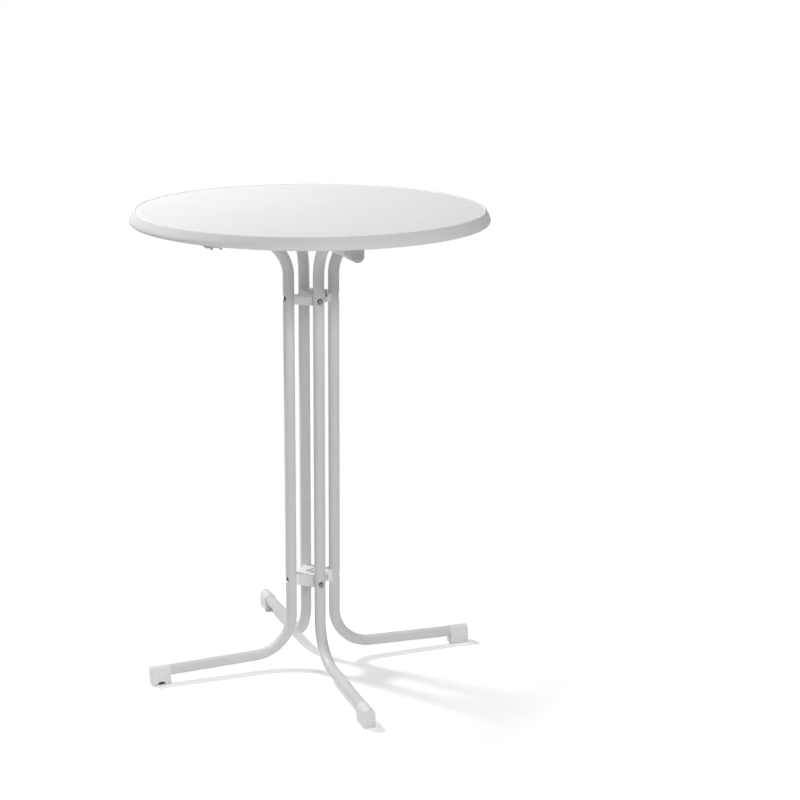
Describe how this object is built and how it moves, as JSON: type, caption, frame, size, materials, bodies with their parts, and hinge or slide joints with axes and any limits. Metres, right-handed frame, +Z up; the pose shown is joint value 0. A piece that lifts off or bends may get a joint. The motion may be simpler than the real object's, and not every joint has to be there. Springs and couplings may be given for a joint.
{
  "type": "folding standing table",
  "caption": "High standing table: a round moulded white top on bent grey tubes that fold like scissors, with white end caps and a levelling foot",
  "frame": {"origin": "on the floor, below the middle of the round top", "axes": "+Z up; +X to the right upper run, which a saddle holds; -Y to the front tube, which crosses below it"},
  "size_m": [0.813, 0.813, 1.1],
  "materials": {
    "top_white": "satin",
    "tube_grey": "satin",
    "cap_white": "satin",
    "bracket_grey": "satin",
    "bolt_black": "satin",
    "steel": "satin",
    "wheel_red": "satin",
    "washer_dark": "matte"
  },
  "bodies": {
    "side_frame": {"arm_plug_left": "cap_white", "arm_plug_right": "cap_white", "board_screw_left_1": "steel", "board_screw_left_2": "steel", "board_screw_left_3": "steel", "board_screw_left_4": "steel", "board_screw_right_1": "steel", "board_screw_right_2": "steel", "board_screw_right_3": "steel", "board_screw_right_4": "steel", "foot_cap_left": "cap_white", "foot_cap_right": "cap_white", "lower_hub_screw_back": "bolt_black", "lower_hub_screw_front": "bolt_black", "lower_hub_washer": "washer_dark", "lower_side_yoke": "cap_white", "saddle_bracket_left": "bracket_grey", "saddle_bracket_right": "bracket_grey", "strap_pin_left": "steel", "strap_pin_right": "steel", "tabletop": "top_white", "tube_bolt_left_lower": "bolt_black", "tube_bolt_left_upper": "bolt_black", "tube_bolt_right_lower": "bolt_black", "tube_bolt_right_upper": "bolt_black", "tube_bush_left_lower": "steel", "tube_bush_left_upper": "steel", "tube_bush_right_lower": "steel", "tube_bush_right_upper": "steel", "tube_left": "tube_grey", "tube_right": "tube_grey", "upper_hub_washer": "washer_dark", "upper_pivot_bolt": "steel", "upper_pivot_nut": "steel", "upper_side_yoke": "cap_white"},
    "cross_frame": {"arm_pad_back": "cap_white", "arm_pad_front": "cap_white", "foot_cap_back": "cap_white", "foot_cap_front": "cap_white", "lower_cross_yoke": "cap_white", "lower_pivot_bolt": "steel", "lower_pivot_nut": "steel", "tube_back": "tube_grey", "tube_bolt_back_lower": "bolt_black", "tube_bolt_back_upper": "bolt_black", "tube_bolt_front_lower": "bolt_black", "tube_bolt_front_upper": "bolt_black", "tube_bush_back_lower": "steel", "tube_bush_back_upper": "steel", "tube_bush_front_lower": "steel", "tube_bush_front_upper": "steel", "tube_front": "tube_grey", "upper_cross_yoke": "cap_white", "upper_hub_screw_back": "bolt_black", "upper_hub_screw_front": "bolt_black"},
    "left_strap": {"saddle_strap_left": "bracket_grey"},
    "right_strap": {"saddle_strap_right": "bracket_grey"},
    "thumb_wheel": {"leveller_wheel": "wheel_red"},
    "screw_foot": {"leveller_foot": "bolt_black"}
  },
  "joints": [
    {"name": "fold", "type": "hinge", "parent": "side_frame", "child": "cross_frame", "pos_m": [0, 0, 0.2195], "axis": [0, 0, 1], "range_deg": [0, 60]},
    {"name": "left_strap_hinge", "type": "hinge", "parent": "side_frame", "child": "left_strap", "pos_m": [-0.228, 0.022, 1.0292], "axis": [1, 0, 0], "range_deg": [0, 105]},
    {"name": "right_strap_hinge", "type": "hinge", "parent": "side_frame", "child": "right_strap", "pos_m": [0.228, -0.022, 1.0292], "axis": [-1, 0, 0], "range_deg": [0, 105]},
    {"name": "thumb_wheel_turn", "type": "hinge", "parent": "side_frame", "child": "thumb_wheel", "pos_m": [-0.376, 0, 0.0061], "axis": [0, 0, 1], "range_deg": [0, 1440]},
    {"name": "screw_foot_slide", "type": "slide", "parent": "side_frame", "child": "screw_foot", "axis": [0, 0, -1], "range_m": [0, 0.006]}
  ],
  "couplings": [
    {"joint": "thumb_wheel_turn", "follows": "screw_foot_slide", "rad_per_m": 4188.8}
  ]
}
